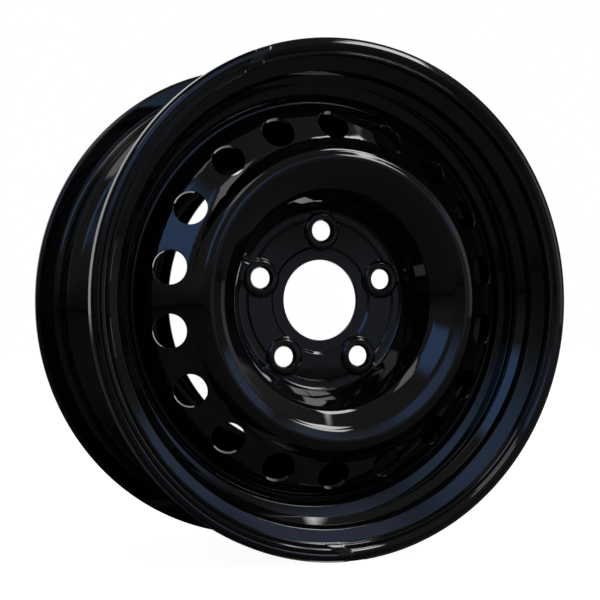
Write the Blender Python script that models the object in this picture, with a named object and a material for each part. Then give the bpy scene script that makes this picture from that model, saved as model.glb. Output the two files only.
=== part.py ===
"""Pressed steel road wheel: rolled rim hoop, pressed disc and the weld between them.

Frame: metres, +Z up, the spin axis along Y, +Y towards the vehicle, origin at the
centre of the wheel (on the axis, half way across the rim). Sections are written as
(radius, depth), the depth being counted inboard from the plane of the outer flange.
"""
import math

import bpy
import numpy as np

# Driving sizes
OVERALL_DIAMETER = 0.4170
OVERALL_WIDTH = 0.1695
RIM_SHEET = 0.0026
DISC_SHEET = 0.0040
HUB_FACE_DEPTH = 0.0497
BOLT_CIRCLE = 0.1143
CENTRE_BORE = 0.0661
STUD_HOLE = 0.0164
VENT_HOLE = 0.0268
VALVE_HOLE = 0.0113
FIT_GAP = 0.0003
STUDS = 5
VENTS = 18
VALVE_ANGLE = 10.0
VALVE_AT = 0.80           # place of the valve hole on the conical wall, as part of its outer radius
VENT_AT = 0.517           # place of the vents along the vent band, as part of its width
STUD_RISE = 0.0030        # height of a stud seat over the bolt ring
SEAMS = (111.5, 270.4)    # where the two rolled halves of the lip meet, degrees
SEAM_HALF, SEAM_RAMP = 1.6, 0.9   # half the width of the plain patch there, and of its slope, degrees

MM = 0.001
R_OUT = OVERALL_DIAMETER / 2
MID = OVERALL_WIDTH / 2
K = R_OUT / 0.2085        # radial scale of the pressed shapes
D = OVERALL_WIDTH / 0.1695   # scale of depths across the rim
RIM_STEPS = 48            # columns round the rim: a multiple of four, and none of them in the valve hole
DISC_STEPS = 54           # columns round the disc, three for each vent
HOLE_STEPS = 20           # sides of every round hole and boss of the disc
VALVE_STEPS = 20          # sides of the valve hole


def clear_scene():
    for ob in list(bpy.data.objects):
        bpy.data.objects.remove(ob, do_unlink=True)


def material(name, colour, metallic, rough, coat):
    mat = bpy.data.materials.new(name)
    mat.use_nodes = True
    node = mat.node_tree.nodes["Principled BSDF"]
    node.inputs["Base Color"].default_value = (*colour, 1)
    node.inputs["Metallic"].default_value = metallic
    node.inputs["Roughness"].default_value = rough
    node.inputs["Coat Weight"].default_value = coat
    return mat


def fillet(corners, step=24):
    """Corners (r, s, radius) of an open run to points, each corner rounded by its radius."""
    out = [np.array(corners[0][:2], float)]
    for a, b, c in zip(corners, corners[1:], corners[2:]):
        p, q, n = (np.array(v[:2], float) for v in (a, b, c))
        u, w = (p - q) / np.linalg.norm(p - q), (n - q) / np.linalg.norm(n - q)
        turn = math.pi - math.acos(max(-1.0, min(1.0, float(u @ w))))
        rad = b[2] if len(b) > 2 else 0.0
        if rad <= 0 or turn < 0.02:
            out.append(q)
            continue
        back = min(rad * math.tan(turn / 2), 0.49 * np.linalg.norm(p - q),
                   0.49 * np.linalg.norm(n - q))
        rad = back / math.tan(turn / 2)
        mid = (u + w) / np.linalg.norm(u + w)
        centre = q + mid * rad / math.cos(turn / 2)
        t0, t1 = q + u * back, q + w * back
        a0 = math.atan2(*(t0 - centre)[::-1])
        a1 = math.atan2(*(t1 - centre)[::-1])
        da = (a1 - a0 + math.pi) % (2 * math.pi) - math.pi
        n_arc = max(1, round(abs(math.degrees(da)) / step))
        for i in range(n_arc + 1):
            t = a0 + da * i / n_arc
            out.append(centre + rad * np.array([math.cos(t), math.sin(t)]))
    out.append(np.array(corners[-1][:2], float))
    return out


def offset(corners, t):
    """The same run moved sideways by t to the left of its direction, radii following."""
    pts = [np.array(c[:2], float) for c in corners]
    rads = [c[2] if len(c) > 2 else 0.0 for c in corners]
    dirs = [(b - a) / np.linalg.norm(b - a) for a, b in zip(pts, pts[1:])]
    nor = [np.array([-d[1], d[0]]) for d in dirs]
    out = []
    for i, p in enumerate(pts):
        if i == 0:
            q, rad = p + nor[0] * t, 0.0
        elif i == len(pts) - 1:
            q, rad = p + nor[-1] * t, 0.0
        else:
            n0, n1 = nor[i - 1], nor[i]
            q = p + (n0 + n1) * t / (1 + float(n0 @ n1))
            side = dirs[i - 1][0] * dirs[i][1] - dirs[i - 1][1] * dirs[i][0]
            rad = rads[i] - t if side > 0 else rads[i] + t
            rad = max(rad, 0.0) if rads[i] > 0 else 0.0
        out.append((float(q[0]), float(q[1]), rad))
    return out


def mesh_object(name, verts, faces, mat=None):
    me = bpy.data.meshes.new(name)
    me.from_pydata([tuple(map(float, v)) for v in verts], [], faces)
    me.validate()
    ob = bpy.data.objects.new(name, me)
    bpy.context.scene.collection.objects.link(ob)
    if mat is not None:
        me.materials.append(mat)
    return ob


def place(r, s, angle):
    """Radius, depth and angle (from +X towards +Z, in degrees) to a point of the frame."""
    a = math.radians(angle)
    return (r * math.cos(a), s - MID, r * math.sin(a))


def revolve(name, sections, angles, mat=None):
    """Closed sections of equal length, one for each angle, joined into a closed ring."""
    n, m = len(angles), len(sections[0])
    verts = [place(r, s, a) for a, sec in zip(angles, sections) for r, s in sec]
    area = 0.0
    for (r0, s0), (r1, s1) in zip(sections[0], list(sections[0][1:]) + [sections[0][0]]):
        area += r0 * s1 - r1 * s0
    faces = []
    for i in range(n):
        j = (i + 1) % n
        for k in range(m):
            l = (k + 1) % m
            f = (i * m + k, i * m + l, j * m + l, j * m + k)
            faces.append(f if area > 0 else f[::-1])
    return mesh_object(name, verts, faces, mat)


def capped(rings):
    """Rings of equal length, first to last, closed by a flat cap at each end."""
    m = len(rings[0])
    verts = [p for ring in rings for p in ring]
    faces = [tuple(range(m))[::-1]]
    for i in range(len(rings) - 1):
        for k in range(m):
            l = (k + 1) % m
            faces.append((i * m + k, i * m + l, (i + 1) * m + l, (i + 1) * m + k))
    top = (len(rings) - 1) * m
    faces.append(tuple(top + k for k in range(m)))
    return verts, faces


def faces_out(verts, faces):
    """Faces turned round when the closed shape they bound has a negative volume."""
    v = np.array(verts, float)
    vol = 0.0
    for f in faces:
        for b, c in zip(f[1:], f[2:]):
            vol += float(np.dot(v[f[0]], np.cross(v[b], v[c])))
    return faces if vol > 0 else [f[::-1] for f in faces]


def many(name, shapes):
    """Several closed shapes as one object, to be used as one cutter."""
    verts, faces = [], []
    for v, f in shapes:
        f = faces_out(v, f)
        base = len(verts)
        verts += v
        faces += [tuple(base + i for i in t) for t in f]
    ob = mesh_object(name, verts, faces)
    ob.hide_render = True
    ob.display_type = "WIRE"
    return ob


def boolean(target, tool, kind):
    mod = target.modifiers.new(tool.name, "BOOLEAN")
    mod.operation = kind
    mod.solver = "EXACT"
    mod.object = tool


def bake(ob, angle=30):
    """Modifiers applied, flat regions dissolved to clean triangles, round parts smooth."""
    bpy.context.view_layer.update()
    deps = bpy.context.evaluated_depsgraph_get()
    me = bpy.data.meshes.new_from_object(ob.evaluated_get(deps))
    mats = list(ob.data.materials)
    ob.modifiers.clear()
    ob.data = me
    if not me.materials:
        for m in mats:
            me.materials.append(m)
    for p in me.polygons:
        p.use_smooth = True
    me.set_sharp_from_angle(angle=math.radians(angle))


def seat(r, s):
    """A section point of the base size to metres of the sizes above.

    The point is in millimetres, its depth counted from the widest ring of the front lip.
    """
    return (r * MM * K, (s + 2.2) * MM * D)


WALL_OUT, WALL_IN = seat(168.7, 43.6), seat(122.3, 70.5)


def wall_depth(r, clear=0.0):
    """Depth of the hub side of the rim's conical wall at a radius, less a clearance."""
    (r0, s0), (r1, s1) = WALL_OUT, WALL_IN
    slope = (s1 - s0) / (r0 - r1)
    return s0 + (r0 - r) * slope - clear * math.hypot(1.0, slope)


def rim_sections():
    """Hub side of the sheet from the front flange to the rear flange, then the tyre side."""
    w = OVERALL_WIDTH
    t = RIM_SHEET
    hub = [
        (*seat(197.0, 6.4), 0), (*seat(194.6, 7.2), 0), (*seat(189.4, 11.0), 3 * MM),
        (*seat(182.8, 19.0), 8 * MM), (*seat(178.2, 33.5), 8 * MM),
        (*WALL_OUT, 4 * MM),
        (*WALL_IN, 5 * MM), (*seat(122.3, 106.0), 7 * MM),
        (*seat(181.6, 130.0), 5 * MM), (*seat(187.6, 135.2), 3.5 * MM),
        (*seat(185.3, 141.0), 4 * MM),
    ]
    tip = w
    wall = w - 3.4 * MM
    hub += [(186.9 * MM * K, wall, 9 * MM), (R_OUT - t, wall, 2.2 * MM), (R_OUT - t, tip, 0)]
    tyre = offset(hub, -t)
    # the tyre side starts on the flange wall, outside the groove of the front lip
    front_wall = hub[0][1] + t
    tyre[0] = (201.0 * MM * K, front_wall, 0.0)
    tyre[1] = (193.4 * MM * K, front_wall, 5.0 * MM)
    hub_pts = fillet(hub, 55)
    tyre_pts = fillet([(r, s, f if f > 4.5 * MM else 0) for r, s, f in tyre], 75)
    return hub_pts, tyre_pts


def lip(kind):
    """Front of the outer lip, from the tyre side round the edge to the groove under it.

    Kind 0 is the lip with two grooves and its crest set in from the edge, kind 1 the
    lip with its crest at the edge, kind 2 the plain patch between the two.
    """
    e = R_OUT
    k = K

    def p(back, s):
        return (e - back * MM * k, s * MM * D)

    outer = {
        0: [p(3.4, 11.0), p(0.9, 10.0), p(0.0, 7.8), p(0.0, 3.9), p(0.5, 2.5), p(3.0, 0.9),
            p(5.2, 0.1), p(6.3, 0.1)],
        1: [p(3.4, 11.0), p(0.9, 10.0), p(0.0, 7.8), p(0.0, 2.0), p(0.5, 0.7), p(1.5, 0.0),
            p(4.2, 0.5), p(6.0, 0.9)],
        2: [p(3.4, 11.0), p(0.9, 10.0), p(0.0, 7.8), p(0.0, 2.6), p(0.5, 1.2), p(2.2, 0.2),
            p(4.6, 0.0), p(6.2, 0.2)],
    }[kind]
    grooves = {
        0: [p(7.0, 1.9), p(8.4, 1.9), p(9.0, 0.6), p(11.0, 0.8)],
        1: [p(6.7, 1.9), p(8.4, 1.9), p(9.0, 0.9), p(11.0, 1.2)],
        2: [p(7.0, 0.3), p(8.4, 0.4), p(9.0, 0.5), p(11.0, 0.8)],
    }[kind]
    tip = [p(12.6, 1.3), p(13.4, 2.2), p(13.2, 3.2), p(11.2, 3.9), p(10.6, 5.2)]
    if kind == 2:
        tip = [p(12.6, 1.4), p(13.6, 2.6), p(13.9, 4.2), p(13.9, 5.4), p(13.5, 6.4)]
    return outer + grooves + tip


def build_rim(mat):
    hub_pts, tyre_pts = rim_sections()
    base = [tuple(q) for q in tyre_pts[::-1]]      # tyre side, rear to front
    lips = {k: lip(k) for k in (0, 1, 2)}
    tail = [tuple(q) for q in hub_pts]             # hub side, front to rear
    step = 360 / RIM_STEPS
    angles = [step * i for i in range(RIM_STEPS)]
    reach = SEAM_HALF + SEAM_RAMP
    for c in SEAMS:
        angles = [a for a in angles if abs(a - c) > reach + 0.6]
        angles += [c - reach, c - SEAM_HALF, c + SEAM_HALF, c + reach]
    angles.append(270.0)      # the lowest column, so that the wheel has its full height
    angles = sorted(angles)
    sections = []
    for a in angles:
        if any(abs(a - c) <= SEAM_HALF + 0.01 for c in SEAMS):
            kind = 2
        elif SEAMS[0] < a < SEAMS[1]:
            kind = 0
        else:
            kind = 1
        start = [seat(195.0, 6.9)] if kind == 2 else tail[:1]
        sections.append(base + lips[kind] + start + tail[1:])
    ob = revolve("rim", sections, angles, mat)
    # valve hole square through the conical wall, where a vent of the disc gives room for it
    a = math.radians(VALVE_ANGLE)
    e_r, e_t = np.array([math.cos(a), 0, math.sin(a)]), np.array([-math.sin(a), 0, math.cos(a)])
    along = np.array(WALL_OUT) - np.array(WALL_IN)
    along = along / np.linalg.norm(along)
    r = VALVE_AT * WALL_OUT[0]
    centre = np.array(place(r, wall_depth(r), VALVE_ANGLE))
    ax_u = e_r * along[0] + np.array([0, along[1], 0])
    ax_n = e_r * -along[1] + np.array([0, along[0], 0])
    ring = []
    past = 6 * MM             # the cutter runs past both sides of the sheet
    for dist in (-past, RIM_SHEET + past):
        ring.append([tuple(centre + ax_n * dist + VALVE_HOLE / 2 * (
            ax_u * math.cos(2 * math.pi * i / VALVE_STEPS) + e_t * math.sin(2 * math.pi * i / VALVE_STEPS)))
            for i in range(VALVE_STEPS)])
    tool = many("valve_cutter", [capped(ring)])
    boolean(ob, tool, "DIFFERENCE")
    bake(ob)
    bpy.data.objects.remove(tool, do_unlink=True)
    return ob


def disc_front():
    """Front surface of the pressed disc from the bore out to its rolled edge."""
    h = HUB_FACE_DEPTH - DISC_SHEET              # depth of the bolt ring
    rb, pc = CENTRE_BORE / 2, BOLT_CIRCLE / 2
    c = [
        (rb, h + 1.4 * MM, 0), (pc - 14.4 * MM, h + 1.4 * MM, 0), (pc - 12.4 * MM, h, 0),
        (pc + 7.45 * MM, h, 0), (pc + 8.55 * MM, h + 1.1 * MM, 0), (pc + 9.65 * MM, h, 0),
        (pc + 16.6 * MM, h, 4 * MM), (pc + 24.0 * MM, 0.63 * h, 14 * MM),
    ]
    d = HUB_FACE_DEPTH / 0.0497
    c += [
        (88.5 * MM * K, 15.4 * MM * d, 22 * MM), (103.0 * MM * K, 5.2 * MM * d, 16 * MM),
        (113.5 * MM * K, 2.3 * MM * d, 9 * MM), (119.8 * MM * K, 4.2 * MM * d, 7 * MM),
        (129.6 * MM * K, 16.0 * MM * d, 20 * MM),
        (153.6 * MM * K, 28.3 * MM * d, 13 * MM), (161.2 * MM * K, 41.0 * MM * d, 7 * MM),
        (161.2 * MM * K, wall_depth(161.2 * MM * K, FIT_GAP), 0),
    ]
    return c


def build_disc(mat):
    t = DISC_SHEET
    front = disc_front()
    back = offset(front, t)
    # flat mounting pad: one plane from the bore to the foot of the bowl
    pad = HUB_FACE_DEPTH
    foot = back[6]
    back = [(front[0][0], pad, 0)] + [(foot[0], pad, foot[2])] + back[7:]
    edge = front[-1]
    back[-1] = (edge[0] - t, wall_depth(edge[0] - t, FIT_GAP), 0)
    sec = [tuple(q) for q in fillet(front, 45)] + [tuple(q) for q in fillet(back, 75)[::-1]]
    step = 360 / DISC_STEPS
    angles = [step * i for i in range(DISC_STEPS)]
    ob = revolve("disc", [sec] * DISC_STEPS, angles, mat)

    h = HUB_FACE_DEPTH - DISC_SHEET
    pc = BOLT_CIRCLE / 2
    rs = STUD_HOLE / 2
    top = h - STUD_RISE

    def ring(cx, cz, rad, s):
        turns = [2 * math.pi * i / HOLE_STEPS for i in range(HOLE_STEPS)]
        return [(cx + rad * math.cos(t), s - MID, cz + rad * math.sin(t)) for t in turns]

    ribs, bosses, holes = [], [], []
    for k in range(STUDS):
        a = math.radians(90 + 360 / STUDS * k)
        cx, cz = pc * math.cos(a), pc * math.sin(a)
        er, et = np.array([math.cos(a), math.sin(a)]), np.array([-math.sin(a), math.cos(a)])
        rings = []
        for s, half, r0, r1 in ((h + 2.2 * MM, 9.2, 6.0, 20.2), (h - 0.3 * MM, 8.6, 6.0, 20.4),
                                (h - 1.5 * MM, 7.2, 6.0, 20.8)):
            q = []
            for u, v in ((r0, -half), (r1, -half), (r1, half), (r0, half)):
                xy = er * (pc + u * MM) + et * v * MM
                q.append((xy[0], s - MID, xy[1]))
            rings.append(q)
        ribs.append(capped(rings))
        boss = [(15.3, h + 1.6 * MM), (15.3, h - 0.2 * MM), (14.4, top + 1.1 * MM),
                (12.2, top)]
        bosses.append(capped([ring(cx, cz, rr * MM, s) for rr, s in boss]))
        cut = [(rs + 1.9 * MM, top - 2.0 * MM), (rs + 1.25 * MM, top),
               (rs, top + 2.9 * MM), (rs, pad - 3.0 * MM), (rs + 2.0 * MM, pad - 3.0 * MM),
               (rs + 3.6 * MM, pad - 1.6 * MM), (rs + 4.0 * MM, pad + 2.0 * MM)]
        holes.append(capped([ring(cx, cz, rr, s) for rr, s in cut]))
    slope_a, slope_b = np.array(front[12][:2]), np.array(front[13][:2])
    along = (slope_b - slope_a) / np.linalg.norm(slope_b - slope_a)
    mid = slope_a + (slope_b - slope_a) * VENT_AT
    into = np.array([-along[1], along[0]])
    vents = []
    for k in range(VENTS):
        a = 90 + 360 / VENTS * k
        e_r = np.array([math.cos(math.radians(a)), 0, math.sin(math.radians(a))])
        e_t = np.array([-math.sin(math.radians(a)), 0, math.cos(math.radians(a))])
        e_y = np.array([0.0, 1.0, 0.0])
        centre = e_r * mid[0] + e_y * (mid[1] - MID)
        ax_n = e_r * into[0] + e_y * into[1]
        ax_u = e_r * along[0] + e_y * along[1]
        rings = []
        for dist in (-3 * DISC_SHEET, 3.5 * DISC_SHEET):
            rings.append([tuple(centre + ax_n * dist + VENT_HOLE / 2 * (
                ax_u * math.cos(2 * math.pi * i / HOLE_STEPS) + e_t * math.sin(2 * math.pi * i / HOLE_STEPS)))
                for i in range(HOLE_STEPS)])
        vents.append(capped(rings))
    tools = [many("rib_tool", ribs), many("boss_tool", bosses), many("stud_cutter", holes),
             many("vent_cutter", vents)]
    boolean(ob, tools[0], "UNION")
    boolean(ob, tools[1], "UNION")
    boolean(ob, tools[2], "DIFFERENCE")
    boolean(ob, tools[3], "DIFFERENCE")
    bake(ob)
    for tool in tools:
        bpy.data.objects.remove(tool, do_unlink=True)
    return ob


def build_weld(mat):
    """Fillet weld round the edge of the disc, in the corner it makes with the rim."""
    r0 = disc_front()[-1][0] + FIT_GAP
    r1 = r0 + 3.6 * MM
    foot, toe = wall_depth(r0, FIT_GAP), wall_depth(r1, FIT_GAP)
    sec = [(r0, foot), (r1, toe), (r0 + 1.9 * MM, foot - 2.9 * MM), (r0, foot - 4.0 * MM)]
    angles = [360 / DISC_STEPS * i for i in range(DISC_STEPS)]
    ob = revolve("weld_bead", [sec] * DISC_STEPS, angles, mat)
    bake(ob, 50)
    return ob


def main():
    clear_scene()
    paint_rim = material("gloss_black_paint", (0.012, 0.012, 0.013), 0.0, 0.12, 1.0)
    paint_disc = material("gloss_black_paint_disc", (0.013, 0.013, 0.014), 0.0, 0.12, 1.0)
    paint_weld = material("painted_weld", (0.016, 0.016, 0.016), 0.0, 0.3, 0.6)
    build_rim(paint_rim)
    build_disc(paint_disc)
    build_weld(paint_weld)


main()
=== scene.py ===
"""Looks of the steel wheel: rim hoop, pressed disc and weld at full fineness, in gloss black.

Everything is in metres, in the frame of the CAD part: Y is the spin axis, -Y the outer
face, +Z up. Sections are written in millimetres as (radius, depth, rounding), the depth
being counted inboard from the plane of the front flange. Angles are in degrees, from +X
towards +Z.
"""
import math

import bmesh
import bpy
import numpy as np
from mathutils import Matrix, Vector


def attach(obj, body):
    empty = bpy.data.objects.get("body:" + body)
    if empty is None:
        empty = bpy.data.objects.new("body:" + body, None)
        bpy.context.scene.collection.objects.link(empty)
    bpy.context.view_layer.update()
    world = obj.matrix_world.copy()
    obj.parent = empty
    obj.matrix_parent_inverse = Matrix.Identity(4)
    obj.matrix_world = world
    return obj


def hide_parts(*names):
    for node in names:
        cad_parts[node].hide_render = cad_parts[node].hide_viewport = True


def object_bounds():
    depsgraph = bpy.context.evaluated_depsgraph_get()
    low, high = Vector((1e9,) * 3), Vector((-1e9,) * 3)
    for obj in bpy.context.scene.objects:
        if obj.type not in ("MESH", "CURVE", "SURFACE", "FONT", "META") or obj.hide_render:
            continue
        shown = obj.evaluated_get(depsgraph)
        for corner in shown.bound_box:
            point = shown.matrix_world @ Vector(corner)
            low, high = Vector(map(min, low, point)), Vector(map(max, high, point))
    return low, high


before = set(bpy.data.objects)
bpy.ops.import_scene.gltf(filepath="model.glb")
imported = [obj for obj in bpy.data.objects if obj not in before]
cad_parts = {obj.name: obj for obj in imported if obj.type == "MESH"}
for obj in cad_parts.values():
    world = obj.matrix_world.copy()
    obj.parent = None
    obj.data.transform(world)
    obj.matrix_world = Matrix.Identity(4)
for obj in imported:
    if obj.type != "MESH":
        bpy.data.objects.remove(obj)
cad_low, cad_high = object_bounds()

MM = 0.001
SAME_POINT, NO_LENGTH, ON_CUT = 4e-6, 1e-6, 1e-5   # metres
LEAST_ROUNDING = 0.25

# rim hoop
R_OUT = 208.5            # outer radius of both flanges
WIDTH = 169.5            # over the flanges
MID = WIDTH / 2
RIM_SHEET = 2.6
REAR_WALL = WIDTH - 3.4  # depth of the rear flange's wall
WALL_OUT, WALL_IN = (181.6, 38.3), (122.3, 72.7)   # ends of the conical wall, hub side
VALVE_R = 5.65
VALVE_AT = 0.743         # place of the valve hole on the conical wall, as part of its outer radius
VALVE_ANGLE = 10.0
SEAMS = np.array([111.5, 270.4])      # where the lip changes form
SEAM_SLANT = np.array([-0.3, 0.4])    # degrees for each millimetre in from the edge
SLANT_FROM = 6.0         # distance in from the edge at which a seam has its own angle
SEAM_HALF, SEAM_RAMP = 1.7, 0.6       # half the plain patch, and the change beside it
HOOP_STEP = 1.8          # between sections, away from the seams

# pressed disc
DISC_SHEET = 4.0
HUB_FACE = 49.7          # depth of the pad on the back of the disc
RING = HUB_FACE - DISC_SHEET
DISC_R = 161.2           # outer radius of the skirt
SKIRT_TOP = 41.0         # depth at which the skirt begins
BORE_R = 33.05
BOLT_R = 57.15
STUDS = 5
STUD_R = 8.2
STUD_RISE = 3.0          # of the stud seats over the bolt ring
BAND_IN, BAND_OUT = (129.6, 16.0), (153.6, 28.3)   # ends of the vent band, front side
VENTS = 18
VENT_R = 13.4
VENT_AT = 0.517          # place of the vents on the band, as part of its width
VENT_REACH = 20.5, 18.6  # of a vent's sector along the band, inwards and outwards
COLUMNS = 216            # of the disc, twelve for each vent
CUT_AT = 0.4             # where the disc is parted, as part of the way up the bowl's wall

# weld
GAP = 0.3                # between the bead and what it joins
WELD_LEGS = 3.6, 4.0     # reach of the bead along the rim's wall and along the disc's edge


# Sections

def unit(v):
    return v / np.linalg.norm(v, axis=-1, keepdims=True)


def rounded(corners, count):
    """A run of corners (r, depth, rounding) with every inner corner turned into an arc.

    Between a corner and its two neighbours run the unit vectors u and w, at an angle of
    2h to each other. An arc of radius q touches both sides q / tan h from the corner and
    its centre lies q / sin h from it, half way between u and w. The arc's points, count
    of them, turn from one touching point to the other in equal steps.
    """
    c = np.asarray(corners, float)
    p, q = c[..., :2], c[..., 1:-1, 2]
    to_last, to_next = p[..., :-2, :] - p[..., 1:-1, :], p[..., 2:, :] - p[..., 1:-1, :]
    reach = np.minimum(np.linalg.norm(to_last, axis=-1), np.linalg.norm(to_next, axis=-1)) * 0.48
    u, w = unit(to_last), unit(to_next)
    h = np.clip(np.arccos(np.clip((u * w).sum(-1), -1, 1)) / 2, 0.02, math.radians(89.3))
    back = np.minimum(q / np.tan(h), reach)
    q = back * np.tan(h)
    across = unit(w - u)
    mid = np.stack([-across[..., 1], across[..., 0]], -1)
    mid = mid * np.where(((u + w) * mid).sum(-1) < 0, -1.0, 1.0)[..., None]
    centre = p[..., 1:-1, :] + mid * (q / np.sin(h))[..., None]
    a = unit(p[..., 1:-1, :] + u * back[..., None] - centre)[..., None, :]
    b = unit(p[..., 1:-1, :] + w * back[..., None] - centre)[..., None, :]
    turn = (math.pi - 2 * h)[..., None, None]
    t = np.linspace(0, 1, count)[:, None]
    arc = centre[..., None, :] + q[..., None, None] * (
        np.sin((1 - t) * turn) * a + np.sin(t * turn) * b) / np.sin(turn)
    arc = arc.reshape(*arc.shape[:-3], -1, 2)
    return np.concatenate([p[..., :1, :], arc, p[..., -1:, :]], axis=-2)


def rounded_ring(corners, count):
    """The same for a closed section: every corner is rounded, and the ends meet."""
    c = np.asarray(corners, float)
    c = np.concatenate([c[..., -1:, :], c, c[..., :1, :]], axis=-2)
    return rounded(c, count)[..., 1:-1, :]


def beside(corners, t):
    """The run moved sideways by t to the left of its direction, its roundings following it."""
    c = np.asarray(corners, float)
    d = unit(np.diff(c[:, :2], axis=0))
    n = np.stack([-d[:, 1], d[:, 0]], -1)
    n = np.concatenate([n[:1], n, n[-1:]])
    n0, n1 = n[:-1], n[1:]
    moved = c[:, :2] + (n0 + n1) * t / (1 + (n0 * n1).sum(-1, keepdims=True))
    left = n0[:, 0] * n1[:, 1] - n0[:, 1] * n1[:, 0] > 0
    radius = np.maximum(np.where(left, c[:, 2] - t, c[:, 2] + t), LEAST_ROUNDING)
    return np.column_stack([moved, radius])


def wall_depth(r, clear=0.0):
    """Depth of the hub side of the rim's conical wall at a radius, less a clearance."""
    slope = (WALL_IN[1] - WALL_OUT[1]) / (WALL_OUT[0] - WALL_IN[0])
    return WALL_OUT[1] + (WALL_OUT[0] - r) * slope - clear * math.hypot(1, slope)


def place(r, s, angle):
    """Radius, depth and angle to points of the frame, in metres."""
    a = np.radians(angle)
    return np.stack(np.broadcast_arrays(r * np.cos(a), s - MID, r * np.sin(a)), -1) * MM


def spoke(angle):
    """Unit vectors outwards and sideways at an angle, in the plane of the wheel."""
    a = math.radians(angle)
    return np.array([math.cos(a), 0, math.sin(a)]), np.array([-math.sin(a), 0, math.cos(a)])


# Meshes

def grid_faces(rows, cols, wrap_rows, wrap_cols):
    """Quads between neighbouring points of a grid stored row by row."""
    i = np.arange(rows if wrap_rows else rows - 1)[:, None]
    j = np.arange(cols if wrap_cols else cols - 1)[None, :]
    i1, j1 = (i + 1) % rows, (j + 1) % cols
    quad = np.broadcast_arrays(i * cols + j, i * cols + j1, i1 * cols + j1, i1 * cols + j)
    return np.stack(quad, -1).reshape(-1, 4)


def revolve(sections, angles, closed=True):
    """Sections (one, or one for each angle) turned about the spin axis into points and quads."""
    angles = np.asarray(angles, float)
    sections = np.broadcast_to(sections, (len(angles), *np.shape(sections)[-2:]))
    points = place(sections[..., 0], sections[..., 1], angles[:, None])
    return points.reshape(-1, 3), grid_faces(len(angles), sections.shape[1], True, closed)


def tube(rings):
    """Points and quads between rings of equal length, first to last, open at both ends."""
    return rings.reshape(-1, 3), grid_faces(len(rings), rings.shape[1], False, True)


def stack_of_rings(rings):
    """The same, closed by a cap of quads folded to the middle at each end."""
    rings = np.asarray(rings, float)
    ends = rings[[0, -1]].mean(1, keepdims=True)
    return tube(np.concatenate([np.broadcast_to(ends[0], rings[:1].shape), rings,
                                np.broadcast_to(ends[1], rings[:1].shape)]))


def mesh_from(name, parts):
    """Several (points, quads) as one mesh, with their points not merged yet."""
    points, faces, base = [], [], 0
    for p, f in parts:
        points.append(p)
        faces.append(f + base)
        base += len(p)
    points, faces = np.concatenate(points), np.concatenate(faces)
    me = bpy.data.meshes.new(name)
    me.vertices.add(len(points))
    me.vertices.foreach_set("co", points.astype(np.float32).ravel())
    me.loops.add(faces.size)
    me.loops.foreach_set("vertex_index", faces.astype(np.int32).ravel())
    me.polygons.add(len(faces))
    me.polygons.foreach_set("loop_start", np.arange(0, faces.size, 4, dtype=np.int32))
    me.update(calc_edges=True)
    return me


def clean(me, join=()):
    """Other meshes taken in, doubles merged, collapsed faces dropped and faces turned outwards."""
    bm = bmesh.new()
    for m in (me, *join):
        bm.from_mesh(m)
    bmesh.ops.remove_doubles(bm, verts=bm.verts, dist=SAME_POINT)
    bmesh.ops.dissolve_degenerate(bm, edges=bm.edges, dist=NO_LENGTH)
    bmesh.ops.recalc_face_normals(bm, faces=bm.faces)
    if bm.calc_volume(signed=True) < 0:
        bmesh.ops.reverse_faces(bm, faces=bm.faces)
    bm.to_mesh(me)
    bm.free()
    return me


def piece(name, data):
    ob = bpy.data.objects.new(name, data)
    bpy.context.scene.collection.objects.link(ob)
    return ob


def carve(me, steps):
    """The mesh after exact unions and cuts by other closed meshes, one after the other."""
    ob = piece("in_work", me)
    tools = []
    for kind, shapes in steps:
        tool = piece("tool", clean(mesh_from("tool", shapes)))
        tool.hide_render = True
        mod = ob.modifiers.new("carve", "BOOLEAN")
        mod.operation, mod.solver, mod.object = kind, "EXACT", tool
        tools.append(tool)
    bpy.context.view_layer.update()
    done = bpy.data.meshes.new_from_object(ob.evaluated_get(bpy.context.evaluated_depsgraph_get()))
    for o in (ob, *tools):
        bpy.data.objects.remove(o, do_unlink=True)
    return done


def finish_piece(ob, node, paint, crease=32):
    """Smooth faces between sharp edges, broad flats keeping their own direction."""
    me = ob.data
    me.materials.clear()
    me.materials.append(paint)
    me.polygons.foreach_set("use_smooth", np.ones(len(me.polygons), bool))
    me.set_sharp_from_angle(angle=math.radians(crease))
    mod = ob.modifiers.new("flats", "WEIGHTED_NORMAL")
    mod.mode, mod.weight, mod.keep_sharp = "FACE_AREA", 100, True
    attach(ob, "root")
    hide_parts(node)


# Rim hoop

def rim_hub_side():
    """Corners of the side of the sheet that faces the hub, front to rear."""
    return np.array([
        (195.3, 11.0, 0.5), (194.2, 11.4, 0.5), (184.2, 14.2, 1.2), (181.3, 19.5, 0.8),
        (175.0, 24.4, 1.2), (181.6, 39.7, 2.0), (168.8, 42.7, 1.5), (166.2, wall_depth(166.2), 1.0),
        (*WALL_IN, 5), (122.3, 108.2, 7), (181.6, 132.2, 5), (187.6, 137.4, 3.5),
        (185.3, 143.2, 4), (186.9, REAR_WALL, 9), (R_OUT - RIM_SHEET, REAR_WALL, 2.2),
        (R_OUT - RIM_SHEET, WIDTH, 0.4)])


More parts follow.
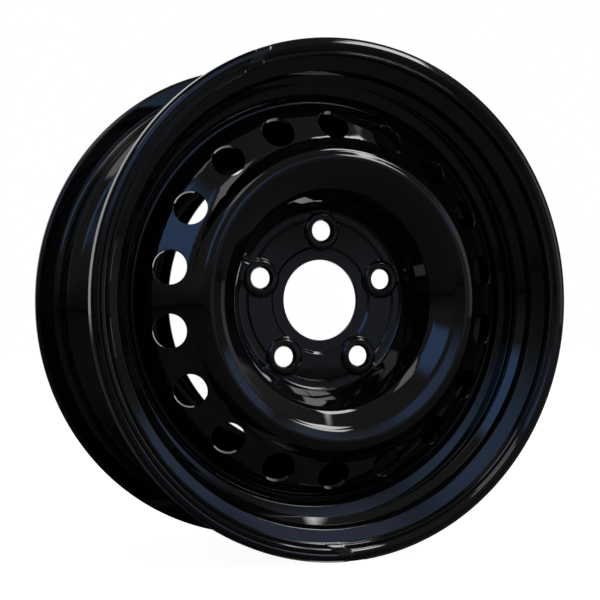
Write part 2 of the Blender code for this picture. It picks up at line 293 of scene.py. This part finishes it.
def rim_lips():
    """Corners of the three forms of the front lip, from the tyre side round to the groove under it.

    Written as (distance in from the edge, depth, rounding). The first form runs up the left side
    of the wheel, the second up the right side, the third is the plain patch between them.
    """
    body = [(3.4, 11.0, 0.6), (0.9, 10.0, 0.8), (0, 7.8, 0.8)]
    left = body + [
        (0, 1.6, 0.4), (0.25, 0.05, 0.3), (1.5, 1.2, 0.12), (2.6, 0.2, 0.25), (5.1, 0.03, 0.4),
        (6.2, 0.35, 0.2), (6.5, 2.6, 0.1), (7.1, 2.6, 0.1), (7.4, 0.75, 0.15), (8.1, 0.6, 0.25),
        (9.9, 0.7, 0.2), (10.7, 1.1, 0.15), (11.0, 3.4, 0.15), (11.9, 3.4, 0.15), (12.2, 1.5, 0.2),
        (14.2, 1.0, 0.4), (15.0, 1.9, 0.4), (14.4, 3.8, 0.4), (13.4, 5.5, 0.5), (13.3, 9.6, 0.5)]
    right = body + [
        (0, 1.6, 0.25), (0.15, 0.8, 0.2), (1.9, 1.0, 0.2), (3.2, 0.5, 0.3), (4.4, 0.05, 0.3),
        (6.0, 0.08, 0.4), (7.5, 0.36, 0.3), (8.0, 0.65, 0.2), (8.8, 1.5, 0.2), (9.2, 1.72, 0.2),
        (9.95, 2.58, 0.2), (10.5, 2.62, 0.2), (11.2, 2.25, 0.2), (11.9, 1.88, 0.3), (13.3, 1.93, 0.35),
        (14.0, 2.8, 0.4), (13.6, 3.6, 0.4), (13.0, 5.2, 0.4), (12.8, 7.5, 0.5), (12.9, 9.8, 0.5)]
    patch = body + [
        (0, 2.6, 0.6), (0.4, 1.2, 0.4), (1.5, 0.6, 0.4), (2.6, 0.2, 0.4), (5.0, 0.03, 0.5),
        (6.2, 0.2, 0.4), (6.8, 0.28, 0.3), (7.3, 0.33, 0.3), (7.8, 0.38, 0.3), (8.4, 0.45, 0.3),
        (9.6, 0.6, 0.3), (10.4, 0.75, 0.3), (11.0, 0.9, 0.3), (11.8, 1.1, 0.3), (12.5, 1.35, 0.3),
        (13.6, 2.0, 0.5), (14.2, 2.9, 0.5), (14.2, 4.4, 0.5), (13.8, 6.4, 0.5), (13.6, 9.6, 0.5)]
    return np.array([left, right, patch]) * [-1, 1, 1] + [R_OUT, 0, 0]


def valve_tool():
    """Round tool square to the conical wall, flared where it enters and leaves the sheet."""
    out, side = spoke(VALVE_ANGLE)
    slope = math.atan2(WALL_IN[1] - WALL_OUT[1], WALL_OUT[0] - WALL_IN[0])
    r = VALVE_AT * WALL_OUT[0]
    centre = place(r, wall_depth(r), VALVE_ANGLE)
    deep = out * math.sin(slope) + np.array([0, math.cos(slope), 0])
    along = out * math.cos(slope) - np.array([0, math.sin(slope), 0])
    t = np.linspace(0, 2 * math.pi, 48, endpoint=False)[:, None]
    spread = along * np.cos(t) + side * np.sin(t)
    return stack_of_rings([centre + deep * d * MM + spread * (VALVE_R + wider) * MM for d, wider in (
        (-5, 2.2), (-0.05, 0.35), (0.35, 0.05), (2.3, 0.05), (2.75, 0.35), (8, 2.2))])


def build_rim(paint):
    """Hoop: the closed section of the sheet turned round, its lip changing form at two seams.

    A corner of the lip is (1 - p) * side + p * patch, where side is the left or the right form
    and p falls smoothly from 1 to 0 between the half width of the patch and the end of its
    ramp. A seam lies askew: its angle changes evenly with the corner's distance from the edge.
    """
    hub = rim_hub_side()
    tyre = beside(hub, -RIM_SHEET)
    tyre[0] = 201.0, 11.4, 0.6
    tyre[1] = 197.0, hub[1, 1] + RIM_SHEET, 3.0
    angles = np.unique(np.round(np.concatenate(
        [np.arange(0, 360, HOOP_STEP), *(c + np.linspace(-6, 6, 73) for c in SEAMS)]), 2))
    angles = angles[np.append(np.diff(angles) > 0.08, True)]
    lips = rim_lips()
    back = R_OUT - lips[2, :, 0]
    turned = angles[:, None, None] + SEAM_SLANT * (back - SLANT_FROM)[None, :, None]
    p = np.clip((SEAM_HALF + SEAM_RAMP - np.abs(turned - SEAMS).min(-1)) / SEAM_RAMP, 0, 1)
    p = (p * p * (3 - 2 * p))[..., None]
    on_left = ((turned[..., 0] > SEAMS[0]) & (turned[..., 1] < SEAMS[1]))[..., None]
    lip = (1 - p) * np.where(on_left, lips[0], lips[1]) + p * lips[2]
    under = hub[:1] * (1 - p[:, -1:]) + np.array([194.9, 11.0, 0.5]) * p[:, -1:]
    n = len(angles)
    section = np.concatenate([np.broadcast_to(tyre[::-1], (n, *tyre.shape)), lip, under,
                              np.broadcast_to(hub[1:], (n, *hub[1:].shape))], axis=1)
    me = clean(mesh_from("rim", [revolve(rounded_ring(section, 5), angles)]))
    rim = piece("rim_hoop", clean(carve(me, [("DIFFERENCE", [valve_tool()])])))
    finish_piece(rim, "rim", paint)


# Pressed disc

def disc_sides():
    """Corners of the front and of the back of the pressed disc, from the bore outwards."""
    h = RING
    front = np.array([
        (BORE_R, h + 1.4, 0.5), (BOLT_R - 14.4, h + 1.4, 0.4), (BOLT_R - 12.4, h, 0.5),
        (BOLT_R + 7.45, h, 0.25), (BOLT_R + 8.55, h + 1.1, 0.4), (BOLT_R + 9.65, h, 0.25),
        (BOLT_R + 16.6, h, 4), (BOLT_R + 24.0, 0.63 * h, 14), (88.5, 15.4, 22), (103, 5.2, 16),
        (113.5, 2.3, 9), (119.8, 4.2, 7), (*BAND_IN, 20), (*BAND_OUT, 13), (DISC_R, SKIRT_TOP, 7),
        (DISC_R, wall_depth(DISC_R, GAP), 0.3)])
    back = beside(front, DISC_SHEET)
    foot = back[6]
    back = np.vstack([[(BORE_R, HUB_FACE, 0.4), (foot[0], HUB_FACE, foot[2])], back[7:]])
    back[-1] = DISC_R - DISC_SHEET, wall_depth(DISC_R - DISC_SHEET, GAP), 0.3
    return front, back


def track(run):
    """Distance along a run of points, so that a place on it can be looked up."""
    return np.concatenate([[0], np.cumsum(np.linalg.norm(np.diff(run, axis=0), axis=1))])


def spots_on(run, where):
    """Radius and depth of the places at given distances along a run."""
    at = track(run)
    return np.stack([np.interp(where, at, run[:, 0]), np.interp(where, at, run[:, 1])], -1)


def find_on(run, centre, slope, a_goal, b_goal):
    """Distance along a run and angle of the skin points that lie over given points of a plane.

    The plane touches the band at the vent's centre; a is measured up its slope and b across it.
    Each point starts at its own a and is moved along the run by what a is still short of.
    """
    where = np.interp(centre[0], run[:, 0], track(run)) + a_goal
    for _ in range(14):
        r, s = spots_on(run, where).T
        angle = np.arcsin(b_goal / r)
        a = (r * np.cos(angle) - centre[0]) * math.cos(slope) + (s - centre[1]) * math.sin(slope)
        where = where + (a_goal - a)
    return where, np.degrees(angle)


def vent_skin(run, start, stop, centre, slope, radius, rings):
    """Points (r, depth, angle) of one vent sector of a skin, ring by ring from the hole outwards.

    The circle of the hole and the outline of the sector, both with the same number of points,
    are joined by straight lines in (distance along the run, angle), with the rings lying closer
    near the hole.
    """
    side = COLUMNS // VENTS
    i = np.arange(side) / side
    along = np.concatenate([np.zeros(side), i, np.ones(side), 1 - i])
    turn = np.concatenate([i, np.ones(side), 1 - i, np.zeros(side)])
    edge = np.column_stack([start + (stop - start) * along, (turn - 0.5) * 360 / VENTS])
    mid_at = np.interp(centre[0], run[:, 0], track(run))
    phi = np.arctan2(np.radians(edge[:, 1]) * centre[0], edge[:, 0] - mid_at)
    where, angle = find_on(run, centre, slope, radius * np.cos(phi), radius * np.sin(phi))
    circle = np.column_stack([where, angle])
    ease = (np.linspace(0, 1, rings) ** 1.4)[:, None, None]
    spots = circle * (1 - ease) + edge * ease
    return np.concatenate([spots_on(run, spots[..., 0]), spots[..., 1:]], -1), phi


def stud_seats():
    """Tools for the bolt ring: ribs and bosses to be added, then stud holes to be cut.

    A boss is a round profile of its own axis: a flared foot, a rounded shoulder and a flat top.
    A rib is a stack of rounded oblongs, written as (depth, half width, far end, rounding).
    """
    h, top, r, pad = RING, RING - STUD_RISE, STUD_R, HUB_FACE
    t = np.linspace(0, 2 * math.pi, 72, endpoint=False)
    ribs, bosses, holes = [], [], []
    boss = rounded([(16.9, h + 1.2, 0), (16.3, h + 0.1, 0.3), (15.5, h - 0.35, 0.6),
                    (14.9, top + 1.0, 1.2), (13.4, top + 0.1, 1.4), (11.0, top - 0.02, 0.5),
                    (9.5, top, 0)], 5)
    hole = rounded([(r + 3.2, top - 2.0, 0), (r + 1.9, top - 0.25, 0.8), (r + 1.0, top + 0.9, 0.7),
                    (r, top + 2.9, 0.5), (r, pad - 3.0, 0.2), (r + 2.0, pad - 3.0, 0.2),
                    (r + 3.6, pad - 1.6, 0.6), (r + 4.0, pad + 2.0, 0)], 4)
    rib = [(h + 2.2, 9.4, 20.2, 2.0), (h - 0.1, 9.1, 20.3, 2.0), (h - 0.9, 8.3, 20.5, 1.8),
           (h - 1.35, 7.5, 20.7, 1.6), (h - 1.5, 6.4, 20.8, 1.4)]
    near = 6                         # end of a rib inside its boss
    for k in range(STUDS):
        a = math.radians(90 + 360 / STUDS * k)
        er, et = np.array([math.cos(a), math.sin(a)]), np.array([-math.sin(a), math.cos(a)])
        mid = er * BOLT_R

        def turned(profile):
            xz = mid + profile[:, None, :1] * (np.cos(t)[:, None] * er + np.sin(t)[:, None] * et)
            depth = np.broadcast_to(profile[:, 1:] - MID, xz.shape[:2])
            return np.stack([xz[..., 0], depth, xz[..., 1]], -1) * MM

        bosses.append(stack_of_rings(turned(boss)))
        holes.append(stack_of_rings(turned(hole)))
        rings = []
        for s, half, far, q in rib:
            outline = rounded_ring(
                [(near, -half, q), (far, -half, q), (far, half, q), (near, half, q)], 6)
            xz = mid + outline[:, :1] * er + outline[:, 1:] * et
            rings.append(np.column_stack([xz[:, 0], np.full(len(xz), s - MID), xz[:, 1]]) * MM)
        ribs.append(stack_of_rings(rings))
    return [("UNION", ribs), ("UNION", bosses), ("DIFFERENCE", holes)]


def build_disc(paint):
    """Disc: the turned sheet, with the vents worked into the band and the stud seats carved in.

    The sheet is parted in two rings on the wall of the bowl. The inner ring takes the bosses,
    ribs and stud holes as exact unions and cuts. The outer ring is made of strips and vent
    sectors. The walls of the vents join the two skins, each edge rounded by a quarter circle.
    """
    front, back = disc_sides()
    foot = 2                         # corner of the back that lies behind corner 7 of the front
    cut_f = np.append(front[7, :2] + CUT_AT * (front[8, :2] - front[7, :2]), 0)
    cut_b = np.append(back[foot, :2] + CUT_AT * (back[foot + 1, :2] - back[foot, :2]), 0)
    angles = 80 + 360 * np.arange(COLUMNS) / COLUMNS
    inner = rounded(np.vstack([cut_f, front[7::-1], back[:foot + 1], cut_b]), 6)
    ring = carve(clean(mesh_from("ring", [revolve(inner, angles)])), stud_seats())
    # the wall where the two rings meet comes off, so that they join as one skin
    bm = bmesh.new()
    bm.from_mesh(ring)
    far = cut_f[0] * MM - ON_CUT
    ends = [(cut[1] - MID) * MM for cut in (cut_f, cut_b)]
    wall = [f for f in bm.faces if all(
        math.hypot(v.co.x, v.co.z) > far and min(abs(v.co.y - y) for y in ends) < ON_CUT
        for v in f.verts)]
    bmesh.ops.delete(bm, geom=wall, context="FACES_ONLY")
    bm.to_mesh(ring)
    bm.free()

    run_f = rounded(np.vstack([cut_f, front[8:14], [DISC_R, SKIRT_TOP, 0]]), 21)
    run_b = rounded(np.vstack([cut_b, back[foot + 1:-2], [*back[-2, :2], 0]]), 15)
    slope = math.atan2(BAND_OUT[1] - BAND_IN[1], BAND_OUT[0] - BAND_IN[0])
    centre = front[12, :2] + VENT_AT * (front[13, :2] - front[12, :2])
    into = np.array([-math.sin(slope), math.cos(slope)])
    parts, skins, ends = [], [], []
    for run, deep, edge in ((run_f, 0.0, 0.22), (run_b, DISC_SHEET, 0.25)):
        at = track(run)
        mid = centre + into * deep
        mid_at = np.interp(mid[0], run[:, 0], at)
        start, stop = mid_at - VENT_REACH[0], mid_at + VENT_REACH[1]
        skins.append((*vent_skin(run, start, stop, mid, slope, VENT_R + edge, 10), edge))
        before = np.concatenate([at[at < start - 0.05], [start]])
        parts.append(revolve(spots_on(run, before), angles, False))
        after = np.concatenate([[stop], at[at > stop + 0.05]])
        ends.append(spots_on(run, after)[:-1])
    skirt = rounded(np.vstack([[*ends[0][-1], 0], front[14:], back[:-3:-1], [*ends[1][-1], 0]]), 8)
    parts.append(revolve(np.vstack([ends[0][:-1], skirt, ends[1][-2::-1]]), angles, False))
    psi = np.linspace(0, math.pi / 2, 5)[:, None, None]
    for k in range(VENTS):
        turn = 90 + 360 / VENTS * k
        e_r, e_t = spoke(turn)
        up = e_r * math.cos(slope) + np.array([0, math.sin(slope), 0])
        deep = -e_r * math.sin(slope) + np.array([0, math.cos(slope), 0])
        hems = []
        for (skin, phi, edge), sign in zip(skins, (1.0, -1.0)):
            points = place(skin[..., 0], skin[..., 1], skin[..., 2] + turn)
            parts.append(tube(points))
            inward = -(up * np.cos(phi)[:, None] + e_t * np.sin(phi)[:, None])
            round_in = inward * np.sin(psi) + sign * deep * (1 - np.cos(psi))
            hems.append(points[0] + MM * edge * round_in)
        parts.append(tube(np.concatenate([hems[0], hems[1][::-1]])))
    disc = piece("pressed_disc", clean(mesh_from("outer", parts), [ring]))
    finish_piece(disc, "disc", paint)


# Weld

def build_weld(paint):
    """Bead: a rounded section laid round the edge of the disc, its free side in overlapping ripples.

    The free side is pushed in and out by a saw-like wave of the angle, delayed towards the two
    toes so that the ripples bow forward, as a bead that was laid in one direction.
    """
    r0, (on_wall, on_edge) = DISC_R + GAP, WELD_LEGS
    foot, toe = wall_depth(r0, GAP), wall_depth(r0 + on_wall, GAP)
    ripples, per = 340, 5
    angles = np.arange(ripples * per) * 360 / (ripples * per)
    t = np.linspace(0, 1, 9)
    a, b = np.array([r0 + on_wall, toe]), np.array([r0, foot - on_edge])
    chord = a + (b - a) * t[:, None]
    out = unit(np.array([(b - a)[1], (a - b)[0]]))
    out = out if out[1] < 0 else -out
    phase = (angles[:, None] * ripples / 360 + 0.55 * np.sin(math.pi * t)) % 1.0
    height = np.sin(math.pi * t) * (0.62 + 0.14 * (1 - phase) ** 1.5)
    free = chord[None] + out * height[..., None]
    inner = np.array([(r0, foot - 2.0), (r0, foot)])
    section = np.concatenate([free, np.broadcast_to(inner, (len(angles), 2, 2))], axis=1)
    weld = piece("weld_ripples", clean(mesh_from("weld", [revolve(section, angles)])))
    finish_piece(weld, "weld_bead", paint, 70)


# Paint

def new_tree(owner):
    """Nodes and links of a material, world or lamp."""
    owner.use_nodes = True
    return owner.node_tree.nodes, owner.node_tree.links


def ramp(nodes, links, source, low, high, start=0.0, stop=1.0, kind="SMOOTHSTEP"):
    """A value from low to high turned into one from start to stop, and held there beyond."""
    m = nodes.new("ShaderNodeMapRange")
    m.interpolation_type = kind
    m.inputs["From Min"].default_value, m.inputs["From Max"].default_value = low, high
    m.inputs["To Min"].default_value, m.inputs["To Max"].default_value = start, stop
    links.new(source, m.inputs["Value"])
    return m.outputs["Result"]


def blend(nodes, links, share, a, b):
    """Colour a, turning into colour b as the share goes from 0 to 1."""
    mix = nodes.new("ShaderNodeMix")
    mix.data_type = "RGBA"
    mix.inputs["A"].default_value, mix.inputs["B"].default_value = (*a, 1), (*b, 1)
    links.new(share, mix.inputs["Factor"])
    return mix.outputs["Result"]


def gloss_black(name, colour, rough, peel, cloud):
    """Black enamel: fine orange peel in the gloss, faint clouding in its colour and roughness."""
    mat = bpy.data.materials.new(name)
    nodes, links = new_tree(mat)
    shader = nodes["Principled BSDF"]
    where = nodes.new("ShaderNodeTexCoord")

    def noise(scale, detail, rough_share=0.5):
        n = nodes.new("ShaderNodeTexNoise")
        n.inputs["Scale"].default_value = scale
        n.inputs["Detail"].default_value = detail
        n.inputs["Roughness"].default_value = rough_share
        links.new(where.outputs["Object"], n.inputs["Vector"])
        return n.outputs["Fac"]

    clouds = ramp(nodes, links, noise(14, 4, 0.6), 0.35, 0.7, kind="LINEAR")
    paler = [c * 1.6 + 0.0008 for c in colour]
    links.new(blend(nodes, links, clouds, colour, paler), shader.inputs["Base Color"])
    sheen = ramp(nodes, links, noise(90, 3), 0.3, 0.7, rough * (1 - cloud), rough * (1 + cloud), "LINEAR")
    links.new(sheen, shader.inputs["Roughness"])
    bump = nodes.new("ShaderNodeBump")
    bump.inputs["Strength"].default_value = peel
    bump.inputs["Distance"].default_value = 0.00002
    links.new(noise(420, 2), bump.inputs["Height"])
    links.new(bump.outputs["Normal"], shader.inputs["Normal"])
    shader.inputs["IOR"].default_value = 1.5
    return mat


# Floor, light and camera

def share_seen_white(nodes, links, direction):
    """1 for the camera; for mirrored and refracted rays the share of the white backdrop.

    The backdrop stands behind the wheel and comes round to its right side: its share rises
    smoothly with the direction's Y plus 0.75 of its X.
    """
    def count(kind, a, b):
        sum_up = nodes.new("ShaderNodeMath")
        sum_up.operation = kind
        for socket, value in zip(sum_up.inputs, (a, b)):
            if isinstance(value, float):
                socket.default_value = value
            else:
                links.new(value, socket)
        return sum_up.outputs[0]

    path, split = nodes.new("ShaderNodeLightPath"), nodes.new("ShaderNodeSeparateXYZ")
    links.new(direction, split.inputs[0])
    lean = count("ADD", split.outputs["Y"], count("MULTIPLY", split.outputs["X"], 0.75))
    backdrop = ramp(nodes, links, lean, 0.62, 0.78)
    mirrored = count("ADD", path.outputs["Is Glossy Ray"], path.outputs["Is Transmission Ray"])
    return count("ADD", path.outputs["Is Camera Ray"], count("MULTIPLY", mirrored, backdrop))


def white_stage():
    """Plain white floor under the wheel. It keeps the wheel's shadow and is as white as the world."""
    me = bpy.data.meshes.new("floor")
    z, d = cad_low[2] - 0.0003, 6.0
    me.from_pydata([(-d, -d, z), (d, -d, z), (d, d, z), (-d, d, z)], [], [(0, 1, 2, 3)])
    floor = piece("floor", me)
    mat = bpy.data.materials.new("white_floor")
    nodes, links = new_tree(mat)
    nodes.clear()
    out = nodes.new("ShaderNodeOutputMaterial")
    where, way = nodes.new("ShaderNodeTexCoord"), nodes.new("ShaderNodeVectorMath")
    way.operation = "NORMALIZE"
    links.new(where.outputs["Object"], way.inputs[0])
    plain, lit, glow, add, switch = (nodes.new("ShaderNode" + k) for k in (
        "BsdfDiffuse", "BsdfDiffuse", "Emission", "AddShader", "MixShader"))
    plain.inputs["Color"].default_value = (0.1, 0.095, 0.09, 1)
    lit.inputs["Color"].default_value = (0.22, 0.22, 0.22, 1)
    glow.inputs["Color"].default_value = (1, 1, 1, 1)
    glow.inputs["Strength"].default_value = 0.965
    links.new(lit.outputs[0], add.inputs[0])
    links.new(glow.outputs[0], add.inputs[1])
    links.new(share_seen_white(nodes, links, way.outputs[0]), switch.inputs[0])
    links.new(plain.outputs[0], switch.inputs[1])
    links.new(add.outputs[0], switch.inputs[2])
    links.new(switch.outputs[0], out.inputs["Surface"])
    me.materials.append(mat)


def white_world():
    """White for the camera all round. For everything else a dim studio: a warm grey room, darker
    towards the floor, and the white backdrop behind the wheel."""
    world = bpy.data.worlds.new("studio")
    bpy.context.scene.world = world
    nodes, links = new_tree(world)
    nodes.clear()
    out = nodes.new("ShaderNodeOutputWorld")
    dim, white, switch = (nodes.new("ShaderNode" + k) for k in ("Background", "Background", "MixShader"))
    where, split = nodes.new("ShaderNodeTexCoord"), nodes.new("ShaderNodeSeparateXYZ")
    links.new(where.outputs["Generated"], split.inputs[0])
    height = ramp(nodes, links, split.outputs["Z"], -0.03, 0.18)
    room = blend(nodes, links, height, (0.07, 0.064, 0.06), (0.17, 0.162, 0.15))
    links.new(room, dim.inputs["Color"])
    white.inputs["Color"].default_value = (1, 1, 1, 1)
    seen = share_seen_white(nodes, links, where.outputs["Generated"])
    links.new(seen, switch.inputs[0])
    links.new(dim.outputs[0], switch.inputs[1])
    links.new(white.outputs[0], switch.inputs[2])
    links.new(switch.outputs[0], out.inputs["Surface"])


def softbox(name, turn_deg, lift_deg, wide_deg, high_deg, level, colour=(1, 1, 1), soft=0.25):
    """Rectangular lamp four metres out, given by its direction (turn from the front towards +X, lift
    above the floor), the angles that it spans and the brightness of its face, which fades out over
    the share called soft of each half side."""
    away = 4.0
    a, e = math.radians(turn_deg), math.radians(lift_deg)
    at = away * np.array([math.sin(a) * math.cos(e), -math.cos(a) * math.cos(e), math.sin(e)])
    size = [2 * away * math.tan(math.radians(d) / 2) for d in (wide_deg, high_deg)]
    lamp = bpy.data.lights.new(name, "AREA")
    lamp.shape = "RECTANGLE"
    lamp.size, lamp.size_y = size
    lamp.energy = level * math.pi * size[0] * size[1]
    lamp.color = colour
    ob = piece(name, lamp)
    ob.visible_camera = False
    z = unit(at)
    x = unit(np.cross([0, 0, 1], z))
    y = np.cross(z, x)
    turn = np.eye(4)
    turn[:3, :3] = np.column_stack([x, y, z])
    turn[:3, 3] = at
    ob.matrix_world = Matrix(turn)
    nodes, links = new_tree(lamp)
    spot, both = nodes.new("ShaderNodeNewGeometry"), nodes.new("ShaderNodeMath")
    both.operation = "MULTIPLY"
    for axis, side, socket in zip((x, y), size, both.inputs):
        along, far = nodes.new("ShaderNodeVectorMath"), nodes.new("ShaderNodeMath")
        along.operation, far.operation = "DOT_PRODUCT", "ABSOLUTE"
        along.inputs[1].default_value = axis
        links.new(spot.outputs["Position"], along.inputs[0])
        links.new(along.outputs["Value"], far.inputs[0])
        links.new(ramp(nodes, links, far.outputs[0], (1 - soft) * side / 2, side / 2, 1, 0), socket)
    links.new(both.outputs[0], nodes["Emission"].inputs["Strength"])


def camera():
    """Camera found from the ellipses of the flange, vents, stud holes and bore in the photograph."""
    yaw, lift = math.radians(-24.336), math.radians(-0.5075)
    right = np.array([math.cos(yaw), math.sin(yaw), 0])
    ahead = np.array([-math.sin(yaw) * math.cos(lift), math.cos(yaw) * math.cos(lift), -math.sin(lift)])
    turn = np.eye(4)
    turn[:3, :3] = np.column_stack([right, np.cross(right, ahead), -ahead])
    turn[:3, 3] = -0.50463751, -1.11224535, -0.01048539
    cam = bpy.data.cameras.new("camera")
    cam.lens, cam.sensor_width = 86.387, 36
    cam.clip_start, cam.clip_end = 0.01, 100
    ob = piece("camera", cam)
    ob.matrix_world = Matrix(turn)
    bpy.context.scene.camera = ob


bpy.context.scene.view_settings.view_transform = "Standard"
enamel = (0.0012, 0.0012, 0.0014), 0.035, 0.2, 0.35      # colour, roughness, peel and clouding
build_rim(gloss_black("rim_enamel", *enamel))
build_disc(gloss_black("disc_enamel", *enamel))
build_weld(gloss_black("weld_enamel", (0.0026, 0.0026, 0.0027), 0.12, 0.5, 0.4))
white_stage()
white_world()
softbox("key_low", 36, 28, 16, 11, 10)
softbox("key_high", 46, 41, 18, 16, 11)
softbox("right_box", 76, 61, 28, 21, 10)
softbox("left_box", -50, 56, 34, 22, 1.8, (1.0, 0.98, 1.04))
softbox("blue_box", -42, 28, 30, 32, 0.9, (0.3, 0.74, 1.7), 0.4)
softbox("front_blue", 8, 16, 28, 25, 0.6, (0.34, 0.74, 1.6), 0.7)
softbox("lilac_card", 29, 17.5, 22, 9, 0.5, (0.55, 0.8, 1.5), 0.5)
softbox("right_blue", 45, 11.5, 22, 11, 0.55, (0.42, 0.72, 1.5), 0.5)
softbox("front_card", 30, -3, 46, 16, 0.2, (0.75, 0.9, 1.25), 0.5)
softbox("side_card", 70, 6, 34, 46, 0.4, (1, 1, 1), 0.6)
camera()
